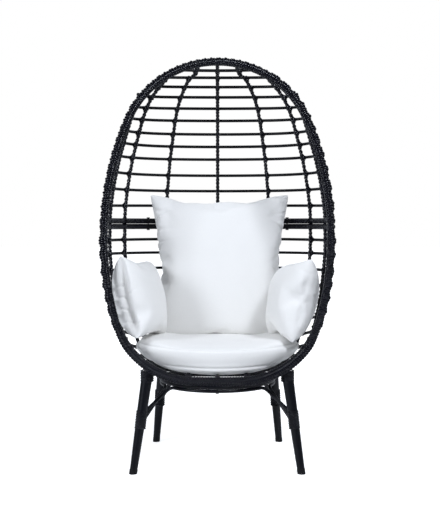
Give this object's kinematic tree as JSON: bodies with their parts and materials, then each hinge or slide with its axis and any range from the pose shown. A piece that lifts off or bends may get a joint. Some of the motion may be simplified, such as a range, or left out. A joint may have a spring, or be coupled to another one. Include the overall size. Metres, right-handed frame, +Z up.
{
  "type": "standing egg chair",
  "caption": "Free-standing egg chair: an egg-shaped openwork wicker basket on splayed tapered legs with arched braces, with loose seat, back and arm cushions.",
  "frame": {"origin": "on the floor, under the middle of the chair's outline", "axes": "+Z up; the mouth faces -Y; +X to the right as seen from in front of the mouth"},
  "size_m": [0.879, 0.6602, 1.5132],
  "materials": {
    "wicker": "black woven resin strip over tube",
    "frame_paint": "smooth black powder coat",
    "cap_rubber": "matt",
    "bolt_steel": "black",
    "cushion_fabric": "off-white woven polyester"
  },
  "bodies": {
    "basket": {"arch_bolts": "bolt_steel", "belt_bolts": "bolt_steel", "foot_caps": "cap_rubber", "front_arch": "frame_paint", "front_left_leg": "frame_paint", "front_right_leg": "frame_paint", "left_arch": "frame_paint", "leg_bindings": "wicker", "lower_belt_rail": "wicker", "lower_left_inner_rib": "wicker", "lower_left_outer_rib": "wicker", "lower_left_rim_rib": "wicker", "lower_middle_rib": "wicker", "lower_right_inner_rib": "wicker", "lower_right_outer_rib": "wicker", "lower_right_rim_rib": "wicker", "lower_rim": "wicker", "lower_rod_01": "wicker", "lower_rod_02": "wicker", "lower_rod_03": "wicker", "lower_rod_04": "wicker", "lower_rod_05": "wicker", "lower_rod_06": "wicker", "lower_rod_07": "wicker", "lower_rod_08": "wicker", "lower_rod_09": "wicker", "lower_rod_10": "wicker", "lower_rod_11": "wicker", "lower_rod_12": "wicker", "lower_rod_13": "wicker", "rear_arch": "frame_paint", "rear_left_leg": "frame_paint", "rear_right_leg": "frame_paint", "right_arch": "frame_paint", "seat_ring": "frame_paint", "upper_belt_rail": "wicker", "upper_left_inner_rib": "wicker", "upper_left_outer_rib": "wicker", "upper_left_rim_rib": "wicker", "upper_middle_rib": "wicker", "upper_right_inner_rib": "wicker", "upper_right_outer_rib": "wicker", "upper_right_rim_rib": "wicker", "upper_rim": "wicker", "upper_rod_01": "wicker", "upper_rod_02": "wicker", "upper_rod_03": "wicker", "upper_rod_04": "wicker", "upper_rod_05": "wicker", "upper_rod_06": "wicker", "upper_rod_07": "wicker", "upper_rod_08": "wicker", "upper_rod_09": "wicker", "upper_rod_10": "wicker", "upper_rod_11": "wicker", "upper_rod_12": "wicker"},
    "seat_cushion": {"seat_cushion": "cushion_fabric"},
    "back_cushion": {"back_cushion": "cushion_fabric"},
    "left_arm_cushion": {"left_arm_cushion": "cushion_fabric"},
    "right_arm_cushion": {"right_arm_cushion": "cushion_fabric"}
  },
  "joints": [
    {"name": "seat_cushion_out", "type": "slide", "parent": "basket", "child": "seat_cushion", "axis": [0, -0.9063, 0.4226], "range_m": [0, 0.6]},
    {"name": "back_cushion_out", "type": "slide", "parent": "seat_cushion", "child": "back_cushion", "axis": [0, -0.9063, 0.4226], "range_m": [0, 0.6]},
    {"name": "left_arm_cushion_out", "type": "slide", "parent": "back_cushion", "child": "left_arm_cushion", "axis": [0.2516, -0.8554, 0.4528], "range_m": [0, 0.5]},
    {"name": "right_arm_cushion_out", "type": "slide", "parent": "back_cushion", "child": "right_arm_cushion", "axis": [-0.2516, -0.8554, 0.4528], "range_m": [0, 0.5]}
  ]
}
